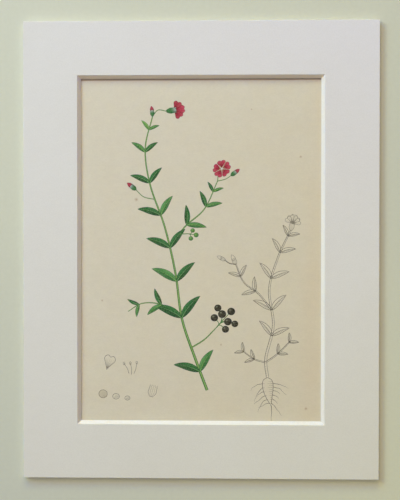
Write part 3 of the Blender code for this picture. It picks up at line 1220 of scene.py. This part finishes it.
def bond_material():
    """Double-sided foam tape: a fine white foam under a milky film of adhesive."""
    m = Mat("double_sided_foam", roughness=0.6, specular=0.3)
    at = m.place()
    cloud = m.noise(at, 70.0, 3.0, 0.6)
    air = m.noise(at, 430.0, 2.0, 0.5)
    c = m.mix(m.ramp(cloud, [(0.3, 0.0), (0.7, 1.0)]), (0.760, 0.745, 0.680), (0.800, 0.790, 0.745))
    c = m.mix(m.ramp(air, [(0.60, 0.0), (0.68, 0.55)]), c, (0.86, 0.86, 0.845))
    m.colour(c)
    m.bump(m.math('ADD', m.math('MULTIPLY', cloud, 0.5), m.math('MULTIPLY', air, 0.5)), 0.00005, 0.6)
    return m.m


def strip(name, node, mat, outline, under, thick, step):
    """A flat strip laid over what is beneath it.  Millimetres.

    outline(u, v): the point of the strip at shares u along and v across it;
    under(x, y): the height of its lower side; step: shares between points.
    """
    nu, nv = step
    top, bottom = [], []
    for j in range(nv + 1):
        for i in range(nu + 1):
            x, y = outline(i / nu, j / nv)
            z = under(x, y)
            edge = min(i, nu - i, j, nv - j)
            t = thick * (0.70, 1.0)[min(edge, 1)]
            bottom.append((x * MM, y * MM, z * MM))
            top.append((x * MM, y * MM, (z + t) * MM))
    n = len(top)
    faces = []
    idx = lambda i, j: j * (nu + 1) + i
    for j in range(nv):
        for i in range(nu):
            a, b, c, d = idx(i, j), idx(i + 1, j), idx(i + 1, j + 1), idx(i, j + 1)
            faces.append((a, b, c, d))
            faces.append((n + d, n + c, n + b, n + a))
    rim = ([idx(i, 0) for i in range(nu)] + [idx(nu, j) for j in range(nv)]
           + [idx(i, nv) for i in range(nu, 0, -1)] + [idx(0, j) for j in range(nv, 0, -1)])
    for k, a in enumerate(rim):
        b = rim[(k + 1) % len(rim)]
        faces.append((n + a, n + b, b, a))
    ob = mesh_object(name, top + bottom, faces, [mat],
                     smooth=[True] * (len(faces) - len(rim)) + [False] * len(rim))
    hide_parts(node)
    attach(ob, "root")
    return ob


def hinges():
    """Each runs under the leaf's top edge, steps up past it and is stuck to the board above."""
    mat = gummed_material()
    leaf_top = leaf_hi.y / MM
    board = win_lo.z / MM
    for side, seed in (("left", 21), ("right", 34)):
        lo, hi = (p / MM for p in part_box("hinge_tape_" + side))
        rng = random.Random(seed)
        nu, nv = 62, 30
        torn = [(rng.uniform(0.0, 0.30), rng.uniform(0.0, 0.30)) for _ in range(nv + 1)]
        skew = rng.uniform(-0.25, 0.25)

        def outline(u, v, lo=lo, hi=hi, torn=torn, skew=skew):
            a, b = torn[round(v * nv)]
            y0 = lo.y + 0.3 + skew * (u - 0.5)
            y1 = hi.y - 0.3 + skew * (u - 0.5)
            return lo.x + a + (hi.x - lo.x - a - b) * u, y0 + (y1 - y0) * v

        def under(x, y, lo=lo, seed=seed):
            step_up = smoothstep(leaf_top + 0.15, leaf_top + 2.4, y)
            low = leaf_under(x, min(y, leaf_top)) - 0.070 + 0.004 * math.sin(x * 0.9 + y * 0.7 + seed)
            high = board - 0.075 + 0.006 * math.sin(x * 1.3 - y * 0.5 + seed)
            return low + (high - low) * step_up
        strip("gummed_hinge_" + side, "hinge_tape_" + side, mat,
              outline, under, 0.056, (nu, nv))


def bonds():
    """Four lengths torn off against a toothed cutter, pressed down unevenly by hand."""
    mat = bond_material()
    for k, side in enumerate(("top", "bottom", "left", "right")):
        lo, hi = (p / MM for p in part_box("bond_tape_" + side))
        along_x = hi.x - lo.x > hi.y - lo.y
        rng = random.Random(50 + k)
        length, width = (hi.x - lo.x, hi.y - lo.y) if along_x else (hi.y - lo.y, hi.x - lo.x)
        nu, nv = int(length / 1.7), 16
        ph = [rng.uniform(0, 6.28) for _ in range(4)]

        def outline(u, v, lo=lo, hi=hi, along_x=along_x, ph=ph, length=length, width=width):
            tooth = 0.42 * (1 - abs((v * 8) % 2 - 1))
            s = tooth + (length - 0.42 - 2 * tooth + 0.42) * u     # teeth at both ends
            w = (0.10 + 0.06 * math.sin(s / 23.0 + ph[0])
                 + (width - 0.20 - 0.05 * math.sin(s / 31.0 + ph[1]) - 0.06) * v)
            w = min(max(w, 0.0), width)
            return (lo.x + s, lo.y + w) if along_x else (lo.x + w, lo.y + s)

        def under(x, y, lo=lo, ph=ph):
            return lo.z + 0.010 + 0.005 * math.sin(x / 4.1 + ph[2]) + 0.005 * math.sin(y / 3.7 + ph[3])
        strip("bond_strip_" + side, "bond_tape_" + side, mat,
              outline, under, (hi.z - lo.z) - 0.022, (nu, nv))


window_board()
backing()
print_sheet()
hinges()
bonds()
